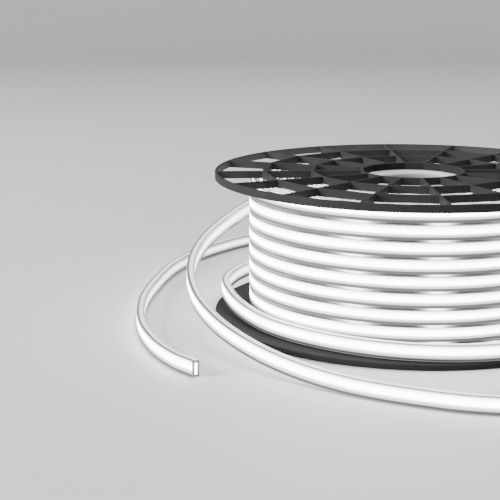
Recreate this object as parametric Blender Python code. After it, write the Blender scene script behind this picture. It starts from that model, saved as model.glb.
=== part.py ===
"""A reel of COB LED strip light, lying flat on its plain flange, with a slack turn and a loose tail.

The reel's axis is Z and its lower flange stands on Z = 0. Angles are counter-clockwise from +X.
"""

import math

import bmesh
import bpy
from mathutils import Vector

# Reel
FLANGE_RADIUS = 0.130
REEL_HEIGHT = 0.0968
BORE_RADIUS = 0.0321
LOWER_FLANGE_THICKNESS = 0.0035
CORE_WALL = 0.0025

# Openwork of the upper flange
WEB_HEIGHT = 0.0048
WEB_WALL = 0.0019
RIB_COUNT = 16
FIRST_RIB_ANGLE = math.radians(9.7)
INNER_RING_RADIUS = 0.0663
OUTER_RING_RADIUS = 0.0982

# LED strip: a translucent jacket round a flat light core, wound and laid on its edge
STRIP_WIDTH = 0.0100
STRIP_THICKNESS = 0.0052
CORE_WIDTH = 0.0069
CORE_THICKNESS = 0.0019

# Winding
COIL_RADIUS = 0.10725
TURN_PITCH = 0.0102
LOWEST_TURN_HEIGHT = 0.0092
GROOVE_DEPTH = 0.0009
GROOVE_HALF_WIDTH = 0.0011
END_RELIEF = 0.0008

# Gap between pieces that touch
CLEARANCE = 0.0003

# Facets of round pieces
RIM_SEGMENTS = 96
CORE_SEGMENTS = 64
COIL_SEGMENTS = 48

# Length of one straight stretch of a laid strip
STRIP_STEP = 0.022

# Slack turn: angle in degrees, radius of the strip's middle, rise of its lower edge over its seat
# on the lower flange
SLACK_TURN_ROUTE = [
    (80, 0.1107, 0.0056),
    (90, 0.1134, 0.0058),
    (101, 0.1173, 0.0060),
    (115, 0.1212, 0.0062),
    (135, 0.1250, 0.0064),
    (155, 0.1272, 0.0062),
    (174, 0.1263, 0.0054),
    (190, 0.1202, 0.0036),
    (206, 0.1156, 0.0014),
    (222, 0.1141, 0.0),
    (238, 0.1147, 0.0),
    (255, 0.1175, 0.0),
    (272, 0.1215, 0.0),
    (290, 0.1252, 0.0),
    (308, 0.1267, 0.0),
    (326, 0.1262, 0.0),
    (344, 0.1240, 0.0),
    (362, 0.1200, 0.0),
    (378, 0.1152, 0.0),
    (392, 0.1108, 0.0),
]

# Loose tail: angle in degrees, radius of the strip's middle, height of its lower edge
TAIL_ROUTE = [
    (95, 0.1107, 0.0806),
    (112, 0.1112, 0.0780),
    (126, 0.1126, 0.0730),
    (140, 0.1163, 0.0656),
    (154, 0.1233, 0.0562),
    (168, 0.1320, 0.0465),
    (182, 0.1401, 0.0378),
    (196, 0.1470, 0.0290),
    (210, 0.1524, 0.0200),
    (224, 0.1572, 0.0122),
    (237, 0.1622, 0.0060),
    (249, 0.1694, 0.0020),
    (260, 0.1789, 0.0002),
    (271, 0.1904, 0.0),
    (282, 0.2033, 0.0),
    (296, 0.2165, 0.0),
    (312, 0.2230, 0.0),
    (334, 0.2270, 0.0),
    (352, 0.2310, 0.0),
    (372, 0.2360, 0.0),
    (392, 0.2420, 0.0),
    (410, 0.2490, 0.0),
    (425, 0.2555, 0.0),
    (440, 0.2605, 0.0),
    (455, 0.2600, 0.0),
    (470, 0.2520, 0.0),
    (484, 0.2390, 0.0),
    (497, 0.2205, 0.0),
    (507, 0.2060, 0.0),
    (519, 0.1920, 0.0),
    (539, 0.1800, 0.0),
    (553, 0.1796, 0.0),
    (566, 0.1838, 0.0),
    (578, 0.1900, 0.0),
    (587, 0.1950, 0.0),
    (593, 0.1968, 0.0),
]


def principled(name, colour, roughness, emission=0.0):
    material = bpy.data.materials.new(name)
    material.use_nodes = True
    shader = material.node_tree.nodes["Principled BSDF"]
    shader.inputs["Base Color"].default_value = (*colour, 1.0)
    shader.inputs["Roughness"].default_value = roughness
    shader.inputs["Metallic"].default_value = 0.0
    shader.inputs["Emission Color"].default_value = (1.0, 1.0, 0.98, 1.0)
    shader.inputs["Emission Strength"].default_value = emission
    material.diffuse_color = (*colour, 1.0)
    return material


def add_object(name, bm, material):
    bmesh.ops.recalc_face_normals(bm, faces=bm.faces)
    mesh = bpy.data.meshes.new(name)
    bm.to_mesh(mesh)
    bm.free()
    obj = bpy.data.objects.new(name, mesh)
    bpy.context.scene.collection.objects.link(obj)
    if material:
        mesh.materials.append(material)
        mesh.shade_smooth()
        mesh.set_sharp_from_angle(angle=math.radians(30))
    return obj


def turned(profile, segments):
    """Closed solid of revolution: (radius, height) points, in order round the section."""
    bm = bmesh.new()
    rings = []
    for index in range(segments):
        angle = 2 * math.pi * index / segments
        cosine, sine = math.cos(angle), math.sin(angle)
        rings.append([bm.verts.new((r * cosine, r * sine, z)) for r, z in profile])
    for index, ring in enumerate(rings):
        following = rings[(index + 1) % segments]
        for here in range(len(profile)):
            after = (here + 1) % len(profile)
            bm.faces.new((ring[here], following[here], following[after], ring[after]))
    return bm


def rectangle(inner, outer, low, high):
    return [(inner, low), (outer, low), (outer, high), (inner, high)]


def polar(radius, angle, height):
    return Vector((radius * math.cos(angle), radius * math.sin(angle), height))


def add_prism(bm, corners, low, high):
    """Upright prism over the corners of a convex outline."""
    bottom = [bm.verts.new((x, y, low)) for x, y, _ in corners]
    top = [bm.verts.new((x, y, high)) for x, y, _ in corners]
    bm.faces.new(reversed(bottom))
    bm.faces.new(top)
    for here in range(len(corners)):
        after = (here + 1) % len(corners)
        bm.faces.new((bottom[here], bottom[after], top[after], top[here]))


def beside_rib(radius, rib_angle, side):
    """The point on a circle that lies half a wall to one side of a rib's middle line."""
    return polar(radius, rib_angle + side * math.asin(WEB_WALL / 2 / radius), 0.0)


def cell_corners(inner, outer, start, end, arc_steps):
    """Outline of one cell between two ribs, with straight sides or an arc at its outer end."""
    corners = [beside_rib(inner, start, 1), beside_rib(outer, start, 1)]
    low = start + math.asin(WEB_WALL / 2 / outer)
    high = end - math.asin(WEB_WALL / 2 / outer)
    for step in range(1, arc_steps):
        corners.append(polar(outer, low + (high - low) * step / arc_steps, 0.0))
    corners += [beside_rib(outer, end, -1), beside_rib(inner, end, -1)]
    return corners


def web_cutter(low, high):
    """All cells of the openwork and its many-sided bore, as one set of upright prisms."""
    spacing = 2 * math.pi / RIB_COUNT
    half_wall = WEB_WALL / 2
    hub_corner_radius = BORE_RADIUS / math.cos(spacing / 2)
    zones = [
        (hub_corner_radius + WEB_WALL, INNER_RING_RADIUS - half_wall, 1),
        (INNER_RING_RADIUS + half_wall, OUTER_RING_RADIUS - half_wall, 1),
        (OUTER_RING_RADIUS + half_wall, FLANGE_RADIUS - WEB_WALL, 6),
    ]
    bm = bmesh.new()
    rib_angles = [FIRST_RIB_ANGLE + rib * spacing for rib in range(RIB_COUNT)]
    add_prism(bm, [polar(hub_corner_radius, angle, 0.0) for angle in rib_angles], low, high)
    for inner, outer, arc_steps in zones:
        for start in rib_angles:
            corners = cell_corners(inner, outer, start, start + spacing, arc_steps)
            add_prism(bm, corners, low, high)
    cutter = add_object("web_cells", bm, None)
    cutter.hide_render = True
    cutter.display_type = "WIRE"
    return cutter


def build_upper_flange(material):
    low = REEL_HEIGHT - WEB_HEIGHT
    section = rectangle(BORE_RADIUS - WEB_WALL, FLANGE_RADIUS, low, REEL_HEIGHT)
    plate = turned(section, RIM_SEGMENTS)
    flange = add_object("reel_upper_flange", plate, material)
    cells = flange.modifiers.new("cells", "BOOLEAN")
    cells.operation = "DIFFERENCE"
    cells.solver = "EXACT"
    cells.object = web_cutter(low - WEB_HEIGHT, REEL_HEIGHT + WEB_HEIGHT)


def build_lower_flange(material):
    section = rectangle(BORE_RADIUS, FLANGE_RADIUS, 0.0, LOWER_FLANGE_THICKNESS)
    add_object("reel_lower_flange", turned(section, RIM_SEGMENTS), material)


def build_core(material):
    low = LOWER_FLANGE_THICKNESS + CLEARANCE
    high = REEL_HEIGHT - WEB_HEIGHT - CLEARANCE
    section = rectangle(BORE_RADIUS, BORE_RADIUS + CORE_WALL, low, high)
    add_object("reel_core", turned(section, CORE_SEGMENTS), material)


def coil_section():
    """Outline of the winding: turns on its outer face, layers on its ends.

    It has as many whole turns as fit under the upper flange, and as many layers as fit its depth.
    """
    bore = BORE_RADIUS + CORE_WALL + CLEARANCE
    inner_radius = COIL_RADIUS - STRIP_THICKNESS
    inner_layers = round((inner_radius - bore) / STRIP_THICKNESS)
    layer = (inner_radius - bore) / inner_layers
    seat = LOWER_FLANGE_THICKNESS + CLEARANCE
    room = REEL_HEIGHT - WEB_HEIGHT - CLEARANCE - LOWEST_TURN_HEIGHT
    turn_count = math.floor(room / TURN_PITCH)
    top = LOWEST_TURN_HEIGHT + turn_count * TURN_PITCH
    points = []
    for index in range(inner_layers):
        height = seat + END_RELIEF * (index % 2)
        points += [(bore + index * layer, height), (bore + (index + 1) * layer, height)]
    points.append((inner_radius, LOWEST_TURN_HEIGHT))
    for turn in range(turn_count):
        base = LOWEST_TURN_HEIGHT + turn * TURN_PITCH
        points.append((COIL_RADIUS - GROOVE_DEPTH, base))
        points.append((COIL_RADIUS, base + GROOVE_HALF_WIDTH))
        points.append((COIL_RADIUS, base + TURN_PITCH - GROOVE_HALF_WIDTH))
    points.append((COIL_RADIUS - GROOVE_DEPTH, top))
    for index in reversed(range(inner_layers)):
        height = top - END_RELIEF * (1 - index % 2)
        points += [(bore + (index + 1) * layer, height), (bore + index * layer, height)]
    return points


def build_coil(material):
    add_object("strip_coil", turned(coil_section(), COIL_SEGMENTS), material)


def smooth_route(route, step):
    """Points about one step apart along a smooth curve through the route's own points."""
    lowest = min(z for _, _, z in route)
    anchors = [polar(r, math.radians(angle), z) for angle, r, z in route]
    anchors.insert(0, 2 * anchors[0] - anchors[1])
    anchors.append(2 * anchors[-1] - anchors[-2])
    fine = []
    for index in range(1, len(anchors) - 2):
        before, start, end, after = anchors[index - 1 : index + 3]
        for part in range(16):
            t = part / 16
            fine.append(
                0.5
                * (
                    2 * start
                    + (end - before) * t
                    + (2 * before - 5 * start + 4 * end - after) * t**2
                    + (3 * start - before - 3 * end + after) * t**3
                )
            )
    fine.append(anchors[-2])
    travelled = [0.0]
    for here, there in zip(fine, fine[1:]):
        travelled.append(travelled[-1] + (there - here).length)
    count = round(travelled[-1] / step)
    points = []
    cursor = 0
    for index in range(count + 1):
        wanted = travelled[-1] * index / count
        while cursor < len(fine) - 2 and travelled[cursor + 1] < wanted:
            cursor += 1
        share = (wanted - travelled[cursor]) / (travelled[cursor + 1] - travelled[cursor])
        point = fine[cursor].lerp(fine[cursor + 1], share)
        point.z = max(point.z, lowest)
        points.append(point)
    return points


def stations(points):
    """Each point with its sideways and upward directions, for a strip that stands on its edge."""
    found = []
    for index, point in enumerate(points):
        ahead = points[min(index + 1, len(points) - 1)]
        behind = points[max(index - 1, 0)]
        along = (ahead - behind).normalized()
        side = along.cross(Vector((0.0, 0.0, 1.0))).normalized()
        found.append((point, side, side.cross(along)))
    return found


def section_ring(bm, station, width, thickness, middle):
    """Four corners of a rectangular section whose middle is at that height over the route."""
    point, side, up = station
    corners = [(-1, -1), (1, -1), (1, 1), (-1, 1)]
    return [
        bm.verts.new(point + side * (a * thickness / 2) + up * (middle + b * width / 2))
        for a, b in corners
    ]


def join_rings(bm, rings):
    for ring, following in zip(rings, rings[1:]):
        for here in range(4):
            after = (here + 1) % 4
            bm.faces.new((ring[here], ring[after], following[after], following[here]))


def solid_strip(route_stations, width, thickness, middle):
    bm = bmesh.new()
    rings = [section_ring(bm, one, width, thickness, middle) for one in route_stations]
    join_rings(bm, rings)
    bm.faces.new(rings[0])
    bm.faces.new(rings[-1])
    return bm


def hollow_strip(route_stations, width, thickness, hollow_width, hollow_thickness, middle):
    bm = bmesh.new()
    outside = [section_ring(bm, one, width, thickness, middle) for one in route_stations]
    inside = [
        section_ring(bm, one, hollow_width, hollow_thickness, middle) for one in route_stations
    ]
    join_rings(bm, outside)
    join_rings(bm, inside)
    for end in (0, -1):
        for here in range(4):
            after = (here + 1) % 4
            bm.faces.new((outside[end][here], outside[end][after], inside[end][after], inside[end][here]))
    return bm


def build_slack_turn(material):
    seat = LOWER_FLANGE_THICKNESS + CLEARANCE
    route = [(angle, radius, seat + rise) for angle, radius, rise in SLACK_TURN_ROUTE]
    laid = stations(smooth_route(route, STRIP_STEP))
    body = solid_strip(laid, STRIP_WIDTH, STRIP_THICKNESS, STRIP_WIDTH / 2)
    add_object("strip_slack_turn", body, material)


def build_tail(jacket_material, core_material):
    laid = stations(smooth_route(TAIL_ROUTE, STRIP_STEP))
    middle = STRIP_WIDTH / 2
    channel_width = CORE_WIDTH + 2 * CLEARANCE
    channel_thickness = CORE_THICKNESS + 2 * CLEARANCE
    jacket = hollow_strip(
        laid, STRIP_WIDTH, STRIP_THICKNESS, channel_width, channel_thickness, middle
    )
    add_object("strip_tail_jacket", jacket, jacket_material)
    core = solid_strip(laid, CORE_WIDTH, CORE_THICKNESS, middle)
    add_object("strip_tail_light_core", core, core_material)


def main():
    for obj in list(bpy.data.objects):
        bpy.data.objects.remove(obj)
    dark_plastic = principled("dark_reel_plastic", (0.029, 0.029, 0.029), 0.5)
    pale_plastic = principled("pale_core_plastic", (0.75, 0.75, 0.73), 0.4)
    jacket = principled("translucent_jacket", (0.80, 0.80, 0.78), 0.3, 0.4)
    light_core = principled("light_core", (1.0, 1.0, 0.98), 0.5, 2.0)
    build_upper_flange(dark_plastic)
    build_lower_flange(dark_plastic)
    build_core(pale_plastic)
    build_coil(jacket)
    build_slack_turn(jacket)
    build_tail(jacket, light_core)


main()
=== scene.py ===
"""Looks of the reel of COB LED strip light: finishes, strip detail, camera and light.

Lengths are in metres. Angles are counter-clockwise from +X, round the reel's axis, which is Z.
"""

import math

import bmesh
import bpy
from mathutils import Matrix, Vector


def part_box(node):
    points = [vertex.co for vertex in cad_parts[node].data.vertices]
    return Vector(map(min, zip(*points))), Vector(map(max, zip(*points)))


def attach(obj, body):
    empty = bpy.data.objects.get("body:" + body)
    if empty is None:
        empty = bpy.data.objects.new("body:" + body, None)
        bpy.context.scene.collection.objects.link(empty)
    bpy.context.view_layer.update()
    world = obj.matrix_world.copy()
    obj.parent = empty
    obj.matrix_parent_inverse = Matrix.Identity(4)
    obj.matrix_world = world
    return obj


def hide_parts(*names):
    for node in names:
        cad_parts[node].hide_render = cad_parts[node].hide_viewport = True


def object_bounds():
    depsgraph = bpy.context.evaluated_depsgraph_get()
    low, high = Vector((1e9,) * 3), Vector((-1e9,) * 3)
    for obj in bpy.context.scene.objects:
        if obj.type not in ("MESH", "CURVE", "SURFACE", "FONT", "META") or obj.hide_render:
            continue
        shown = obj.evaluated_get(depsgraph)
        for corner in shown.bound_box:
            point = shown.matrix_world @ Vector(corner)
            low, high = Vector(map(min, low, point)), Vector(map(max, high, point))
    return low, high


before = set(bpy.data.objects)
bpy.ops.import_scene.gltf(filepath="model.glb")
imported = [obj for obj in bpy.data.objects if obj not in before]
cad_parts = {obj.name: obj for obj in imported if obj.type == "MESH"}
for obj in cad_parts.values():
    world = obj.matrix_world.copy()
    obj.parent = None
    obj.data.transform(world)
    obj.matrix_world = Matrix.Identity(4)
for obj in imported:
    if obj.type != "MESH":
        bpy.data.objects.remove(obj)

cad_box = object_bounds()

# Camera, fitted to the rims of the reel
CAMERA_PLACE = (0.0, -0.83817, 0.22368)
CAMERA_PITCH = math.radians(77.7312)
CAMERA_TURN = math.radians(7.3268)
CAMERA_LENS = 91.93

# Strip: a rounded jacket on its edge, with a light core in its middle
STRIP_WIDTH = 0.0100
STRIP_THICKNESS = 0.0052
STRIP_ROUNDING = 0.0006
CORE_WIDTH = 0.0069
CORE_THICKNESS = 0.0019
CORE_PROUD = 0.00015
CORE_STATIONS = 12
CORNER_STEPS = 4
STRIP_STEP = 0.004
CURVE_PARTS = 16

# Winding
TURN_PITCH = 0.0102
LOWEST_TURN_HEIGHT = 0.0092
TURN_GAP_DEPTH = 0.0016
TURN_GAP_PLACE = 0.7
LAYER_STEP = 0.0008
WINDING_SEGMENTS = 240
PIECE_GAP = 0.0003

# Reel
CORE_WALL = 0.0025
WEB_WALL = 0.0019
RIB_COUNT = 16
FIRST_RIB_ANGLE = math.radians(9.7)
INNER_RING_RADIUS = 0.0663
OUTER_RING_RADIUS = 0.0982
ARC_STEPS = 12
WEB_ROUNDING = 0.0003
FLANGE_ROUNDING = 0.0008
FLAT_SUPPORT = 0.0006
REEL_SEGMENTS = 192

# Slack turn: angle in degrees, radius of the strip's middle, rise of its lower edge over its seat
# on the lower flange. Its ends lie in the winding.
SLACK_LEAD_IN = [(54, 0.1046, 0.0056), (66, 0.1070, 0.0056)]
SLACK_TURN_ROUTE = [
    (80, 0.1107, 0.0056),
    (90, 0.1134, 0.0058),
    (101, 0.1173, 0.0060),
    (115, 0.1212, 0.0062),
    (135, 0.1250, 0.0064),
    (155, 0.1272, 0.0062),
    (174, 0.1263, 0.0054),
    (190, 0.1202, 0.0036),
    (206, 0.1156, 0.0014),
    (222, 0.1141, 0.0),
    (238, 0.1147, 0.0),
    (255, 0.1175, 0.0),
    (272, 0.1215, 0.0),
    (290, 0.1252, 0.0),
    (308, 0.1267, 0.0),
    (326, 0.1262, 0.0),
    (344, 0.1240, 0.0),
    (362, 0.1200, 0.0),
    (378, 0.1152, 0.0),
    (392, 0.1108, 0.0),
]
SLACK_LEAD_OUT = [(403, 0.1074, 0.0), (412, 0.1046, 0.0)]

# Loose tail: angle in degrees, radius of the strip's middle, height of its lower edge
TAIL_LEAD_IN = [(60, 0.1044, 0.0806), (72, 0.1064, 0.0806), (84, 0.1091, 0.0806)]
TAIL_ROUTE = [
    (95, 0.1107, 0.0806),
    (112, 0.1112, 0.0780),
    (126, 0.1126, 0.0730),
    (140, 0.1163, 0.0656),
    (154, 0.1233, 0.0562),
    (168, 0.1320, 0.0465),
    (182, 0.1401, 0.0378),
    (196, 0.1470, 0.0290),
    (210, 0.1524, 0.0200),
    (224, 0.1572, 0.0122),
    (237, 0.1622, 0.0060),
    (249, 0.1694, 0.0020),
    (260, 0.1789, 0.0002),
    (271, 0.1904, 0.0),
    (282, 0.2033, 0.0),
    (296, 0.2165, 0.0),
    (312, 0.2230, 0.0),
    (334, 0.2270, 0.0),
    (352, 0.2310, 0.0),
    (372, 0.2360, 0.0),
    (392, 0.2420, 0.0),
    (410, 0.2490, 0.0),
    (425, 0.2555, 0.0),
    (440, 0.2605, 0.0),
    (455, 0.2600, 0.0),
    (470, 0.2520, 0.0),
    (484, 0.2390, 0.0),
    (497, 0.2205, 0.0),
    (507, 0.2060, 0.0),
    (519, 0.1920, 0.0),
    (539, 0.1800, 0.0),
    (553, 0.1796, 0.0),
    (566, 0.1838, 0.0),
    (578, 0.1900, 0.0),
    (587, 0.1950, 0.0),
    (593, 0.1968, 0.0),
]


def polar(radius, angle, height=0.0):
    return Vector((radius * math.cos(angle), radius * math.sin(angle), height))


def add_camera():
    camera = bpy.data.cameras.new("camera")
    camera.lens = CAMERA_LENS
    placed = bpy.data.objects.new("camera", camera)
    placed.location = CAMERA_PLACE
    placed.rotation_euler = (CAMERA_PITCH, 0.0, CAMERA_TURN)
    bpy.context.scene.collection.objects.link(placed)
    bpy.context.scene.camera = placed


# Materials

# Least light that the jacket's ramps can hold, and how many times as much the most is
GLOW_FLOOR = 0.02
GLOW_SPAN = 600.0

# Painted glow on the core tube's inside, which is no lamp: height as a share of the reel's, light given
# off
CORE_PAINTED_GLOW_STOPS = [(0.0, 0.05), (0.89, 0.05), (0.905, 0.12), (0.922, 0.9), (0.935, 0.6), (0.95, 0.45)]
# Broad faces from their lower to their upper edge: place, light given off, shade of the surface
LOOSE_OUTER_STOPS = [
    (0.00, 0.20, 0.16),
    (0.05, 0.20, 0.16),
    (0.08, 0.05, 0.05),
    (0.15, 0.05, 0.05),
    (0.18, 0.12, 0.12),
    (0.21, 0.80, 0.30),
    (0.27, 1.30, 0.35),
    (0.36, 2.20, 0.45),
    (0.40, 4.50, 0.60),
    (0.46, 11.0, 0.75),
    (0.70, 12.0, 0.75),
    (0.78, 9.00, 0.75),
    (0.84, 6.50, 0.70),
    (0.91, 4.00, 0.60),
    (0.96, 1.20, 0.35),
    (1.00, 0.40, 0.20),
]
LOOSE_INNER_STOPS = [
    (0.00, 0.03, 0.12),
    (0.06, 0.05, 0.14),
    (0.11, 0.02, 0.04),
    (0.18, 0.03, 0.06),
    (0.24, 0.15, 0.15),
    (0.32, 0.80, 0.30),
    (0.45, 2.50, 0.50),
    (0.60, 3.80, 0.55),
    (0.72, 2.20, 0.50),
    (0.82, 0.90, 0.40),
    (0.90, 0.25, 0.25),
    (1.00, 0.08, 0.16),
]
# Wound turns: near black at the lower edge, painted shade in the gap under each turn
WOUND_OUTER_STOPS = [
    (0.00, 0.02, 0.02),
    (0.09, 0.02, 0.03),
    (0.13, 0.12, 0.07),
    (0.20, 0.15, 0.08),
    (0.29, 0.18, 0.08),
    (0.325, 1.20, 0.30),
    (0.37, 1.50, 0.35),
    (0.45, 2.50, 0.45),
    (0.50, 9.00, 0.70),
    (0.56, 12.0, 0.75),
    (0.72, 12.0, 0.75),
    (0.80, 9.00, 0.75),
    (0.88, 6.00, 0.70),
    (0.95, 4.00, 0.60),
    (1.00, 2.60, 0.45),
]
# Edges from their inner to their outer side
LOOSE_EDGE_STOPS = [
    (0.00, 0.25, 0.18),
    (0.18, 0.80, 0.25),
    (0.42, 1.80, 0.35),
    (0.64, 1.00, 0.25),
    (0.78, 0.10, 0.08),
    (1.00, 0.10, 0.08),
]
WOUND_EDGE_STOPS = [
    (0.00, 0.02, 0.04),
    (0.20, 0.06, 0.15),
    (0.36, 1.00, 0.45),
    (0.46, 3.00, 0.60),
    (0.64, 3.00, 0.60),
    (0.76, 0.60, 0.35),
    (0.90, 0.04, 0.10),
    (1.00, 0.02, 0.04),
]
# Painted highlights in the dark line at the lower edge: its place, and round the reel from -X by
# way of -Y how far it fills with painted highlight, from 0, dark, to 1, bright
PAINTED_SEAM_BAND = [(0.00, 1.0), (0.13, 1.0), (0.17, 0.0)]
PAINTED_HIGHLIGHT_GLOW = 6.0
PAINTED_HIGHLIGHT_SHADE = 0.5
LOOSE_PAINTED_HIGHLIGHT_STOPS = [(0.0, 0.0), (1.0, 0.0)]
# Wound strip: where round the reel its painted highlights stand, and where its painted shade stays dark
WOUND_PAINTED_HIGHLIGHT_STOPS = [
    (0.000, 0.10),
    (0.055, 0.05),
    (0.080, 0.40),
    (0.125, 0.35),
    (0.150, 0.08),
    (0.172, 0.08),
    (0.184, 0.50),
    (0.193, 0.95),
    (0.208, 0.95),
    (0.217, 0.50),
    (0.228, 0.03),
    (0.256, 0.03),
    (0.264, 0.50),
    (0.271, 0.95),
    (0.284, 0.95),
    (0.291, 0.50),
    (0.299, 0.05),
    (0.316, 0.10),
    (0.330, 0.40),
    (0.380, 0.30),
    (0.430, 0.10),
    (0.460, 0.90),
    (0.500, 0.40),
    (0.560, 0.10),
    (0.600, 0.35),
    (0.660, 0.90),
    (0.700, 0.10),
    (0.770, 0.40),
    (0.840, 0.15),
    (0.880, 0.80),
    (0.930, 0.30),
    (1.000, 0.10),
]


# Noises: cycles a metre, detail
FLOW_NOISE = (22.0, 3.0)
GRAIN_NOISE = (2600.0, 2.0)
DULLNESS_NOISE = (60.0, 4.0)
DRIFT_NOISE = (14.0, 1.0)
WANDER_NOISE = (24.0, 2.0)
PATCH_NOISE = (120.0, 2.0)
CLOUD_NOISE = (35.0, 3.0)
SMEAR_NOISE = (90.0, 3.0)
RIPPLE_NOISE = (700.0, 2.0)
SCORE_NOISE = (1800.0, 2.0)
SPOT_NOISE = (900.0, 1.0)
# Bumps: strength, depth
GRAIN_BUMP = (0.35, 0.00012)
RIPPLE_BUMP = (0.08, 0.00008)
SCORE_BUMP = (0.3, 0.0001)
# How far a noise moves a value to either side
GLOW_DRIFT = 0.04
PAINTED_HIGHLIGHT_WANDER = 0.012
CLOUDINESS = 0.03
LOOSE_PATCHINESS = 0.05
WOUND_PATCHINESS = 0.25

# Moulded plastics
FLOW_SHARE = 0.7
PLASTIC_IOR = 1.5
WEB_LOOK = {"dark": (0.022,) * 3, "light": (0.034,) * 3, "roughness": (0.5, 0.62), "gloss": 0.03}
# Lower flange: the reel's plastic made darker than the web's, painted shade that holds down the strips'
# light on it
PAINTED_SHADE_DISC_LOOK = {"dark": (0.018,) * 3, "light": (0.026,) * 3, "roughness": (0.6, 0.7), "gloss": 0.01}
TUBE_LOOK = {
    "dark": (0.24, 0.24, 0.235),
    "light": (0.34, 0.34, 0.33),
    "roughness": (0.35, 0.5),
    "gloss": 0.5,
    "painted_glow_stops": CORE_PAINTED_GLOW_STOPS,
}
# Colour of the core tube's painted glow
PAINTED_GLOW_COLOUR = (1.0, 0.99, 0.95, 1.0)

# Jacket, its cut end and the light core. Bands are (place across the section, share).
FACE_BAND = [(0.43, 0.0), (0.48, 1.0)]
BLACK = (0.0, 0.0, 0.0, 1.0)
JACKET_WHITE = (1.0, 0.99, 0.965, 1.0)
JACKET_LIGHT = (1.0, 1.0, 0.975, 1.0)
JACKET_ROUGHNESS = (0.14, 0.28)
JACKET_GLOSS = 0.5
SKIN_BAND_SIDEWAYS = [(0.40, 0.0), (0.46, 1.0)]
SKIN_BAND_UPWARD = [(0.45, 0.0), (0.48, 1.0)]
CUT_GREY = (0.20, 0.20, 0.205, 1.0)
SKIN_GREY = (0.52, 0.52, 0.52, 1.0)
CUT_LIGHT = (1.0, 1.0, 0.985, 1.0)
CUT_GLOW = 0.03
SKIN_GLOW = 0.12
LIGHT_CORE_WHITE = (0.9, 0.9, 0.88, 1.0)
LIGHT_CORE_LIGHT = (1.0, 1.0, 0.98, 1.0)
LIGHT_CORE_GLOW = (9.0, 12.0)
MATT_ROUGHNESS = 0.5


def glow_level(light):
    """Place of an amount of light on the ramps' even scale of ratios."""
    return math.log(light / GLOW_FLOOR) / math.log(GLOW_SPAN)


class Nodes:
    """Short calls that add and join the nodes of one material."""

    def __init__(self, name):
        self.material = bpy.data.materials.new(name)
        self.material.use_nodes = True
        self.tree = self.material.node_tree
        self.shader = self.tree.nodes["Principled BSDF"]

    def add(self, kind, inputs=None, **settings):
        node = self.tree.nodes.new(kind)
        for name, value in settings.items():
            setattr(node, name, value)
        for name, value in (inputs or {}).items():
            self.put(node.inputs[name], value)
        return node

    def put(self, socket, value):
        if isinstance(value, bpy.types.NodeSocket):
            self.tree.links.new(value, socket)
        else:
            socket.default_value = value

    def feed(self, name, value):
        """Give one of the shader's own sockets a value, or join it to another node."""
        self.put(self.shader.inputs[name], value)

    def math(self, operation, first, second=0.0):
        return self.add("ShaderNodeMath", {0: first, 1: second}, operation=operation).outputs[0]

    def ramp(self, factor, stops):
        """A grey ramp: (place, value) pairs."""
        node = self.add("ShaderNodeValToRGB", {"Fac": factor})
        elements = node.color_ramp.elements
        while len(elements) < len(stops):
            elements.new(0.5)
        for element, (place, value) in zip(elements, stops):
            element.position = place
            element.color = (value, value, value, 1.0)
        return node.outputs["Color"]

    def mix(self, factor, first, second):
        node = self.add("ShaderNodeMix", {0: factor, 2: first, 3: second}, data_type="FLOAT")
        return node.outputs[0]

    def mix_colour(self, factor, first, second):
        node = self.add("ShaderNodeMix", {0: factor, 6: first, 7: second}, data_type="RGBA")
        return node.outputs[2]

    def object_place(self):
        return self.add("ShaderNodeTexCoord").outputs["Object"]

    def profile_place(self):
        """Place across the strip's section: from its inner to its outer face, and upward."""
        profile = self.add("ShaderNodeUVMap", uv_map="profile").outputs["UV"]
        parts = self.add("ShaderNodeSeparateXYZ", {"Vector": profile})
        return parts.outputs["X"], parts.outputs["Y"]

    def off_middle(self, place):
        return self.math("ABSOLUTE", self.math("SUBTRACT", place, 0.5))

    def noise(self, scale, detail):
        settings = {"Scale": scale, "Detail": detail, "Vector": self.object_place()}
        return self.add("ShaderNodeTexNoise", settings).outputs["Fac"]

    def swing(self, noise, amount):
        """A noise that goes from minus the amount to plus the amount."""
        return self.mix(self.noise(*noise), -amount, amount)

    def bump(self, height, strength, distance):
        settings = {"Height": height, "Strength": strength, "Distance": distance}
        self.feed("Normal", self.add("ShaderNodeBump", settings).outputs["Normal"])


def moulded_plastic(name, dark, light, roughness, gloss, painted_glow_stops=None):
    """Matt moulded plastic: fine spark-eroded grain, cloudy flow marks and duller patches.

    The painted glow stops are (height as a share of the reel's, light given off at that height): painted
    glow that stands in for the winding's light passed on by the tube.
    """
    nodes = Nodes(name)
    flow = nodes.noise(*FLOW_NOISE)
    grain = nodes.noise(*GRAIN_NOISE)
    shade = nodes.mix(FLOW_SHARE, grain, flow)
    nodes.feed("Base Color", nodes.mix_colour(shade, (*dark, 1.0), (*light, 1.0)))
    nodes.feed("Roughness", nodes.mix(nodes.noise(*DULLNESS_NOISE), *roughness))
    nodes.feed("IOR", PLASTIC_IOR)
    nodes.feed("Specular IOR Level", gloss)
    if painted_glow_stops:
        # Painted glow by height on the core tube, which is no lamp
        parts = nodes.add("ShaderNodeSeparateXYZ", {"Vector": nodes.object_place()})
        height = nodes.math("DIVIDE", parts.outputs["Z"], cad_box[1][2])
        drifted = nodes.math("ADD", height, nodes.swing(DRIFT_NOISE, GLOW_DRIFT))
        nodes.feed("Emission Strength", nodes.ramp(drifted, painted_glow_stops))
        nodes.feed("Emission Color", PAINTED_GLOW_COLOUR)
    nodes.bump(grain, *GRAIN_BUMP)
    return nodes.material


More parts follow.
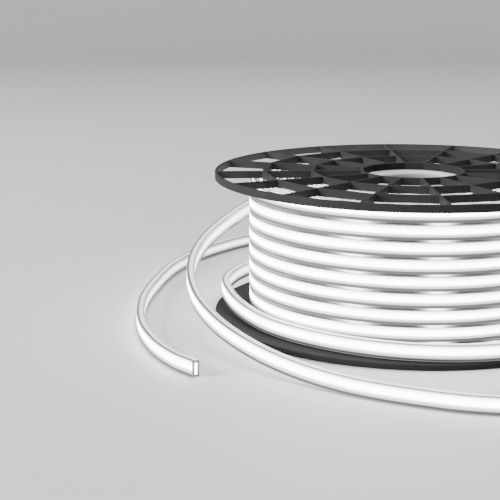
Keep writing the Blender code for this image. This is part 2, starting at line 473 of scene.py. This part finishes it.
def lit_jacket(name, outer_stops, inner_stops, edge_stops, painted_highlight_stops, patchiness):
    """Milky jacket lit from inside, as seen on the strip's broad faces and on its edges.

    The dark line at the lower edge comes and goes along the strip: round the reel it fills with
    painted highlights where the highlight stops say, and on the wound strip the dark line itself is
    painted shade in the gap under each turn. The patchiness says how much its edges vary in brightness.
    """
    nodes = Nodes(name)
    through, across = nodes.profile_place()
    on_face = nodes.ramp(nodes.off_middle(through), FACE_BAND)
    outward = nodes.math("GREATER_THAN", through, 0.5)

    def blended(value_of):
        """One value of the stops, over the whole of the section's outline."""
        inner, outer, edge = (
            nodes.ramp(place, [(stop[0], value_of(stop)) for stop in stops])
            for place, stops in ((across, inner_stops), (across, outer_stops), (through, edge_stops))
        )
        return nodes.mix(on_face, edge, nodes.mix(outward, inner, outer))

    glow = blended(lambda stop: glow_level(stop[1]))
    shade = blended(lambda stop: stop[2])
    # Painted highlights at fixed places round the reel, in the band at the lower edge
    radial = nodes.add("ShaderNodeTexGradient", {"Vector": nodes.object_place()}, gradient_type="RADIAL")
    round_reel = nodes.math("ADD", radial.outputs["Fac"], nodes.swing(WANDER_NOISE, PAINTED_HIGHLIGHT_WANDER))
    highlight_band = nodes.math("MULTIPLY", nodes.ramp(across, PAINTED_SEAM_BAND), outward)
    highlight_share = nodes.math("MULTIPLY", nodes.ramp(round_reel, painted_highlight_stops), highlight_band)
    glow = nodes.mix(highlight_share, glow, glow_level(PAINTED_HIGHLIGHT_GLOW))
    shade = nodes.mix(highlight_share, shade, PAINTED_HIGHLIGHT_SHADE)
    patches = nodes.swing(PATCH_NOISE, patchiness)
    cloud = nodes.swing(CLOUD_NOISE, CLOUDINESS)
    uneven_glow = nodes.math("ADD", glow, nodes.mix(on_face, patches, cloud))
    ratio = nodes.math("POWER", GLOW_SPAN, uneven_glow)
    nodes.feed("Emission Strength", nodes.math("MULTIPLY", ratio, GLOW_FLOOR))
    nodes.feed("Emission Color", JACKET_LIGHT)
    nodes.feed("Base Color", nodes.mix_colour(shade, BLACK, JACKET_WHITE))
    nodes.feed("Roughness", nodes.mix(nodes.noise(*SMEAR_NOISE), *JACKET_ROUGHNESS))
    nodes.feed("IOR", PLASTIC_IOR)
    nodes.feed("Specular IOR Level", JACKET_GLOSS)
    nodes.bump(nodes.noise(*RIPPLE_NOISE), *RIPPLE_BUMP)
    return nodes.material


def cut_jacket(name):
    """The jacket's sawn end: grey and finely scored, with a paler skin round it."""
    nodes = Nodes(name)
    through, across = nodes.profile_place()
    beside = nodes.ramp(nodes.off_middle(through), SKIN_BAND_SIDEWAYS)
    above = nodes.ramp(nodes.off_middle(across), SKIN_BAND_UPWARD)
    skin = nodes.math("MAXIMUM", beside, above)
    nodes.feed("Base Color", nodes.mix_colour(skin, CUT_GREY, SKIN_GREY))
    nodes.feed("Emission Strength", nodes.mix(skin, CUT_GLOW, SKIN_GLOW))
    nodes.feed("Emission Color", CUT_LIGHT)
    nodes.feed("Roughness", MATT_ROUGHNESS)
    nodes.bump(nodes.noise(*SCORE_NOISE), *SCORE_BUMP)
    return nodes.material


def light_core(name):
    """White phosphor over the row of chips, with fine brighter spots."""
    nodes = Nodes(name)
    nodes.feed("Emission Strength", nodes.mix(nodes.noise(*SPOT_NOISE), *LIGHT_CORE_GLOW))
    nodes.feed("Emission Color", LIGHT_CORE_LIGHT)
    nodes.feed("Base Color", LIGHT_CORE_WHITE)
    nodes.feed("Roughness", MATT_ROUGHNESS)
    return nodes.material


# Shapes

SHARP_ANGLE = math.radians(30)
WEB_SHARP_ANGLE = math.radians(20)


def new_piece(name, mesh, materials, sharp_angle=SHARP_ANGLE):
    for material in materials:
        mesh.materials.append(material)
    mesh.shade_smooth()
    mesh.set_sharp_from_angle(angle=sharp_angle)
    piece = bpy.data.objects.new(name, mesh)
    bpy.context.scene.collection.objects.link(piece)
    return piece


def finish_mesh(name, bm, *materials):
    bmesh.ops.recalc_face_normals(bm, faces=bm.faces)
    mesh = bpy.data.meshes.new(name)
    bm.to_mesh(mesh)
    bm.free()
    return new_piece(name, mesh, materials)


def corner(middle, radius, start):
    """Points of a quarter circle about a corner's middle, counter-clockwise from the start angle."""
    x, y = middle
    return [
        (
            x + radius * math.cos(start + math.pi / 2 * step / CORNER_STEPS),
            y + radius * math.sin(start + math.pi / 2 * step / CORNER_STEPS),
        )
        for step in range(CORNER_STEPS + 1)
    ]


def rounded_rectangle(width, height, radius):
    """Outline about its own middle, counter-clockwise from the right side's lower end."""
    x, y = width / 2 - radius, height / 2 - radius
    outline = []
    middles = [(x, y), (-x, y), (-x, -y), (x, -y)]
    for index, middle in enumerate(middles):
        outline += corner(middle, radius, index * math.pi / 2)
    return outline


def smooth_route(route, step):
    """Points about one step apart along a smooth curve through the route's own points."""
    lowest = min(z for _, _, z in route)
    anchors = [polar(r, math.radians(angle), z) for angle, r, z in route]
    anchors.insert(0, 2 * anchors[0] - anchors[1])
    anchors.append(2 * anchors[-1] - anchors[-2])
    fine = []
    for index in range(1, len(anchors) - 2):
        before, start, end, after = anchors[index - 1 : index + 3]
        for part in range(CURVE_PARTS):
            t = part / CURVE_PARTS
            fine.append(
                0.5
                * (
                    2 * start
                    + (end - before) * t
                    + (2 * before - 5 * start + 4 * end - after) * t**2
                    + (3 * start - before - 3 * end + after) * t**3
                )
            )
    fine.append(anchors[-2])
    travelled = [0.0]
    for here, there in zip(fine, fine[1:]):
        travelled.append(travelled[-1] + (there - here).length)
    count = round(travelled[-1] / step)
    points = []
    cursor = 0
    for index in range(count + 1):
        wanted = travelled[-1] * index / count
        while cursor < len(fine) - 2 and travelled[cursor + 1] < wanted:
            cursor += 1
        share = (wanted - travelled[cursor]) / (travelled[cursor + 1] - travelled[cursor])
        point = fine[cursor].lerp(fine[cursor + 1], share)
        point.z = max(point.z, lowest)
        points.append(point)
    return points


def stations(points):
    """Each point with its sideways and upward directions, for a strip that stands on its edge."""
    found = []
    for index, point in enumerate(points):
        ahead = points[min(index + 1, len(points) - 1)]
        behind = points[max(index - 1, 0)]
        along = (ahead - behind).normalized()
        side = along.cross(Vector((0.0, 0.0, 1.0))).normalized()
        found.append((point, side, side.cross(along)))
    return found


def swept(name, laid, outline, size, material, cap_material):
    """A strip of that outline along its stations, closed at both ends.

    The profile map holds the place across the section: x from its inner to its outer face, y from
    its lower to its upper edge.
    """
    bm = bmesh.new()
    profile = bm.loops.layers.uv.new("profile")
    width, height = size
    rings = []
    for point, side, up in laid:
        rings.append([bm.verts.new(point + side * x + up * (y + STRIP_WIDTH / 2)) for x, y in outline])
    count = len(outline)

    def mark(face, columns):
        for loop, column in zip(face.loops, columns):
            x, y = outline[column]
            loop[profile].uv = (x / width + 0.5, y / height + 0.5)

    for ring, following in zip(rings, rings[1:]):
        for here in range(count):
            after = (here + 1) % count
            face = bm.faces.new((ring[here], ring[after], following[after], following[here]))
            mark(face, (here, after, after, here))
    for ring in (rings[0], rings[-1]):
        cap = bm.faces.new(ring)
        cap.material_index = 1
        mark(cap, range(count))
    return finish_mesh(name, bm, material, cap_material)


def turned(name, profile_points, segments, material):
    """Closed solid of revolution.

    Each point is (radius, height) or (radius, height, x, y), where x and y are its place in the
    profile map.
    """
    bm = bmesh.new()
    profile = bm.loops.layers.uv.new("profile")
    rings = []
    for index in range(segments):
        angle = 2 * math.pi * index / segments
        rings.append([bm.verts.new(polar(point[0], angle, point[1])) for point in profile_points])
    count = len(profile_points)
    for index, ring in enumerate(rings):
        following = rings[(index + 1) % segments]
        for here in range(count):
            after = (here + 1) % count
            corners = (ring[here], following[here], following[after], ring[after])
            face = bm.faces.new(corners)
            for loop, column in zip(face.loops, (here, here, after, after)):
                loop[profile].uv = profile_points[column][2:4] or (0.0, 0.0)
    return finish_mesh(name, bm, material)


# Pieces


def add_tail(jacket, cut, core):
    route = TAIL_LEAD_IN + TAIL_ROUTE
    points = smooth_route(route, STRIP_STEP)
    laid = stations(points)
    size = (STRIP_THICKNESS, STRIP_WIDTH)
    outline = rounded_rectangle(*size, STRIP_ROUNDING)
    strip = swept("loose_strip", laid, outline, size, jacket, cut)
    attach(strip, "root")
    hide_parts("strip_tail_jacket")
    core_size = (CORE_THICKNESS, CORE_WIDTH)
    core_outline = rounded_rectangle(*core_size, STRIP_ROUNDING / 2)
    last = laid[-CORE_STATIONS:]
    core_end = [(point + CORE_PROUD * up.cross(side), side, up) for point, side, up in last]
    core_piece = swept("loose_strip_core", core_end, core_outline, core_size, core, core)
    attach(core_piece, "root")
    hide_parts("strip_tail_light_core")


def add_slack_turn(jacket, cut):
    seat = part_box("strip_slack_turn")[0][2]
    whole = SLACK_LEAD_IN + SLACK_TURN_ROUTE + SLACK_LEAD_OUT
    points = smooth_route([(angle, radius, seat + rise) for angle, radius, rise in whole], STRIP_STEP)
    size = (STRIP_THICKNESS, STRIP_WIDTH)
    outline = rounded_rectangle(*size, STRIP_ROUNDING)
    strip = swept("slack_turn", stations(points), outline, size, jacket, cut)
    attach(strip, "root")
    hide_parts("strip_slack_turn")


def layer_end(inner, thickness, height, upward):
    """Rounded edge of one layer, as (radius, height, x, y), from its inner to its outer side."""
    r = STRIP_ROUNDING
    points = []
    for middle, start in ((inner + r, math.pi), (inner + thickness - r, math.pi / 2)):
        for step in range(CORNER_STEPS + 1):
            angle = start - math.pi / 2 * step / CORNER_STEPS
            radius = middle + r * math.cos(angle)
            rise = r * (math.sin(angle) - 1)
            z = height + rise if upward else height - rise
            across = 1.0 + rise / STRIP_WIDTH
            points.append((radius, z, (radius - inner) / thickness, across if upward else 1 - across))
    return points


def turn_corner(coil_radius, base, middle, start):
    """Rounded corner on the outer face of the turn that stands on the base height."""
    return [
        (radius, z, 1 + (radius - coil_radius) / STRIP_THICKNESS, (z - base) / STRIP_WIDTH)
        for radius, z in corner((coil_radius - STRIP_ROUNDING, middle), STRIP_ROUNDING, start)
    ]


def add_winding(jacket):
    (_, _, low), (coil_radius, _, top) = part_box("strip_coil")
    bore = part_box("reel_core")[1][0] + PIECE_GAP
    inner_radius = coil_radius - STRIP_THICKNESS
    layers = round((inner_radius - bore) / STRIP_THICKNESS)
    layer = (inner_radius - bore) / layers
    turns = round((top - LOWEST_TURN_HEIGHT) / TURN_PITCH)
    groove = coil_radius - TURN_GAP_DEPTH
    points = []
    for index in range(layers):
        height = low + LAYER_STEP * (index % 2)
        points += layer_end(bore + index * layer, layer, height, False)
    points.append((inner_radius, LOWEST_TURN_HEIGHT, 0.0, 0.0))
    for turn in range(turns):
        base = LOWEST_TURN_HEIGHT + turn * TURN_PITCH
        points.append((groove, base, TURN_GAP_PLACE, 0.0))
        points += turn_corner(coil_radius, base, base + STRIP_ROUNDING, -math.pi / 2)
        if turn < turns - 1:
            points += turn_corner(coil_radius, base, base + STRIP_WIDTH - STRIP_ROUNDING, 0.0)
            points.append((groove, base + STRIP_WIDTH, TURN_GAP_PLACE, 1.0))
    points += reversed(layer_end(inner_radius, STRIP_THICKNESS, top, True))
    for index in reversed(range(layers)):
        height = top - LAYER_STEP * (1 - index % 2)
        points += reversed(layer_end(bore + index * layer, layer, height, True))
    winding = turned("wound_strip", points, WINDING_SEGMENTS, jacket)
    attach(winding, "root")
    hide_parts("strip_coil")


def rounded_section(inner, outer, low, high, r):
    """Rectangle with rounded corners, with a support beside each so that its flats stay flat."""
    points = []
    places = [(outer - r, low + r), (outer - r, high - r), (inner + r, high - r), (inner + r, low + r)]
    for index, middle in enumerate(places):
        rounding = corner(middle, r, (index - 1) * math.pi / 2)
        toward = 1 if index in (0, 1) else -1
        support = (middle[0] - toward * FLAT_SUPPORT, rounding[0 if index in (0, 2) else -1][1])
        points += [support, *rounding] if index in (0, 2) else [*rounding, support]
    return points


def beside_rib(radius, rib_angle, side):
    """The point on a circle that lies half a wall to one side of a rib's middle line."""
    return polar(radius, rib_angle + side * math.asin(WEB_WALL / 2 / radius))


def cell_corners(inner, outer, start, end, arc_steps):
    """Outline of one cell between two ribs, with straight sides or an arc at its outer end."""
    corners = [beside_rib(inner, start, 1), beside_rib(outer, start, 1)]
    low = start + math.asin(WEB_WALL / 2 / outer)
    high = end - math.asin(WEB_WALL / 2 / outer)
    for step in range(1, arc_steps):
        corners.append(polar(outer, low + (high - low) * step / arc_steps))
    corners += [beside_rib(outer, end, -1), beside_rib(inner, end, -1)]
    return corners


def widened(corners, distance):
    """A convex outline, counter-clockwise, with each side moved outward."""
    moved = []
    for index, here in enumerate(corners):
        before = (here - corners[index - 1]).normalized()
        after = (corners[(index + 1) % len(corners)] - here).normalized()
        normals = [Vector((edge.y, -edge.x, 0.0)) for edge in (before, after)]
        middle = (normals[0] + normals[1]).normalized()
        moved.append(here + middle * (distance / middle.dot(normals[0])))
    return moved


def add_flared_prism(bm, corners, low, high):
    """Upright prism that opens out at both ends, so that it leaves rounded edges where it cuts."""
    r = WEB_ROUNDING
    diagonal = r * (1 - math.sqrt(0.5))
    rise = [(-WEB_WALL, r), (0.0, r), (diagonal, diagonal), (r, 0.0)]
    levels = [(low + up, out) for up, out in rise] + [(high - up, out) for up, out in reversed(rise)]
    rings = []
    for height, out in levels:
        rings.append([bm.verts.new((point.x, point.y, height)) for point in widened(corners, out)])
    for ring, following in zip(rings, rings[1:]):
        for here in range(len(corners)):
            after = (here + 1) % len(corners)
            bm.faces.new((ring[here], ring[after], following[after], following[here]))
    bm.faces.new(reversed(rings[0]))
    bm.faces.new(rings[-1])


def web_cutter(bore_radius, flange_radius, low, high):
    spacing = 2 * math.pi / RIB_COUNT
    half_wall = WEB_WALL / 2
    hub_corner_radius = bore_radius / math.cos(spacing / 2)
    zones = [
        (hub_corner_radius + WEB_WALL, INNER_RING_RADIUS - half_wall, 1),
        (INNER_RING_RADIUS + half_wall, OUTER_RING_RADIUS - half_wall, 1),
        (OUTER_RING_RADIUS + half_wall, flange_radius - WEB_WALL, ARC_STEPS),
    ]
    bm = bmesh.new()
    rib_angles = [FIRST_RIB_ANGLE + rib * spacing for rib in range(RIB_COUNT)]
    add_flared_prism(bm, [polar(hub_corner_radius, angle) for angle in rib_angles], low, high)
    for inner, outer, arc_steps in zones:
        for start in rib_angles:
            corners = cell_corners(inner, outer, start, start + spacing, arc_steps)
            add_flared_prism(bm, corners, low, high)
    return finish_mesh("web_cells", bm)


def add_upper_flange(plastic):
    (_, _, low), (flange_radius, _, high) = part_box("reel_upper_flange")
    bore_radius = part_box("reel_core")[1][0] - CORE_WALL
    blank = rounded_section(bore_radius - WEB_WALL, flange_radius, low, high, WEB_ROUNDING)
    plate = turned("web_blank", blank, REEL_SEGMENTS, plastic)
    cutter = web_cutter(bore_radius, flange_radius, low, high)
    cells = plate.modifiers.new("cells", "BOOLEAN")
    cells.operation = "DIFFERENCE"
    cells.solver = "EXACT"
    cells.object = cutter
    graph = bpy.context.evaluated_depsgraph_get()
    mesh = bpy.data.meshes.new_from_object(plate.evaluated_get(graph))
    for spare in (plate, cutter):
        bpy.data.objects.remove(spare)
    mesh.materials.clear()
    web = new_piece("openwork_flange", mesh, [plastic], WEB_SHARP_ANGLE)
    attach(web, "root")
    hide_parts("reel_upper_flange")


def add_lower_flange(plastic):
    (_, _, low), (flange_radius, _, high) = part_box("reel_lower_flange")
    bore_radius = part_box("reel_core")[1][0] - CORE_WALL
    section = rounded_section(bore_radius, flange_radius, low, high, FLANGE_ROUNDING)
    plate = turned("plain_flange", section, REEL_SEGMENTS, plastic)
    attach(plate, "root")
    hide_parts("reel_lower_flange")


# Surroundings

FLOOR_COLOUR = (0.56, 0.56, 0.56, 1.0)
FLOOR_ROUGHNESS = 0.6
FLOOR_DROP = 0.0001
WELD_DISTANCE = 0.0001
FLOOR_RADIUS = 2.6
COVE_RADIUS = 1.2
COVE_HEIGHT = 3.0
COVE_STEPS = 16
COVE_SEGMENTS = 96

# Lights: angle round the reel in degrees, distance from its axis, height, side, power
KEY_LIGHT = (205, 2.8, 1.2, 1.2, 210.0)
TOP_LIGHT = (90, 0.4, 2.4, 1.8, 56.0)
LIT_PLACE = (0.0, 0.0, 0.05)
WORLD_LIGHT = 0.28
WHITE = (1.0, 1.0, 1.0, 1.0)


def floor_material():
    nodes = Nodes("studio_floor")
    nodes.feed("Base Color", FLOOR_COLOUR)
    nodes.feed("Roughness", FLOOR_ROUGHNESS)
    return nodes.material


def add_floor():
    """Round floor that curves up into a wall, so that no horizon shows from any side."""
    bm = bmesh.new()
    chain = [bm.verts.new((0.0, 0.0, 0.0)), bm.verts.new((FLOOR_RADIUS, 0.0, 0.0))]
    for step in range(1, COVE_STEPS + 1):
        angle = math.pi / 2 * step / COVE_STEPS
        out = FLOOR_RADIUS + COVE_RADIUS * math.sin(angle)
        chain.append(bm.verts.new((out, 0.0, COVE_RADIUS * (1 - math.cos(angle)))))
    chain.append(bm.verts.new((FLOOR_RADIUS + COVE_RADIUS, 0.0, COVE_HEIGHT)))
    edges = [bm.edges.new(pair) for pair in zip(chain, chain[1:])]
    bmesh.ops.spin(
        bm,
        geom=chain + edges,
        cent=(0.0, 0.0, 0.0),
        axis=(0.0, 0.0, 1.0),
        angle=2 * math.pi,
        steps=COVE_SEGMENTS,
        use_merge=True,
    )
    bmesh.ops.remove_doubles(bm, verts=bm.verts, dist=WELD_DISTANCE)
    floor = finish_mesh("floor", bm, floor_material())
    floor.location.z = -FLOOR_DROP


def add_area_light(name, azimuth, distance, height, side, power):
    """Square soft box that faces the reel."""
    light = bpy.data.lights.new(name, "AREA")
    light.shape = "SQUARE"
    light.size = side
    light.energy = power
    placed = bpy.data.objects.new(name, light)
    placed.location = polar(distance, math.radians(azimuth), height)
    direction = Vector(LIT_PLACE) - placed.location
    placed.rotation_euler = direction.to_track_quat("-Z", "Y").to_euler()
    bpy.context.scene.collection.objects.link(placed)


def add_light():
    world = bpy.data.worlds.new("studio")
    world.use_nodes = True
    background = world.node_tree.nodes["Background"]
    background.inputs["Color"].default_value = WHITE
    background.inputs["Strength"].default_value = WORLD_LIGHT
    bpy.context.scene.world = world
    add_area_light("key", *KEY_LIGHT)
    add_area_light("top", *TOP_LIGHT)


def main():
    add_camera()
    jacket = lit_jacket(
        "lit_loose_jacket",
        LOOSE_OUTER_STOPS,
        LOOSE_INNER_STOPS,
        LOOSE_EDGE_STOPS,
        LOOSE_PAINTED_HIGHLIGHT_STOPS,
        LOOSE_PATCHINESS,
    )
    # Wound copy of the jacket: painted shade in the gaps between turns, with painted highlights in them
    wound_jacket = lit_jacket(
        "lit_wound_jacket_painted_seams",
        WOUND_OUTER_STOPS,
        LOOSE_INNER_STOPS,
        WOUND_EDGE_STOPS,
        WOUND_PAINTED_HIGHLIGHT_STOPS,
        WOUND_PATCHINESS,
    )
    cut = cut_jacket("cut_strip_jacket")
    core = light_core("lit_strip_core")
    add_tail(jacket, cut, core)
    add_slack_turn(jacket, cut)
    add_winding(wound_jacket)
    add_upper_flange(moulded_plastic("dark_web_plastic", **WEB_LOOK))
    add_lower_flange(moulded_plastic("dark_disc_plastic_painted_shade", **PAINTED_SHADE_DISC_LOOK))
    pale = moulded_plastic("pale_core_plastic", **TUBE_LOOK)
    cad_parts["reel_core"].material_slots[0].material = pale
    add_floor()
    add_light()


main()
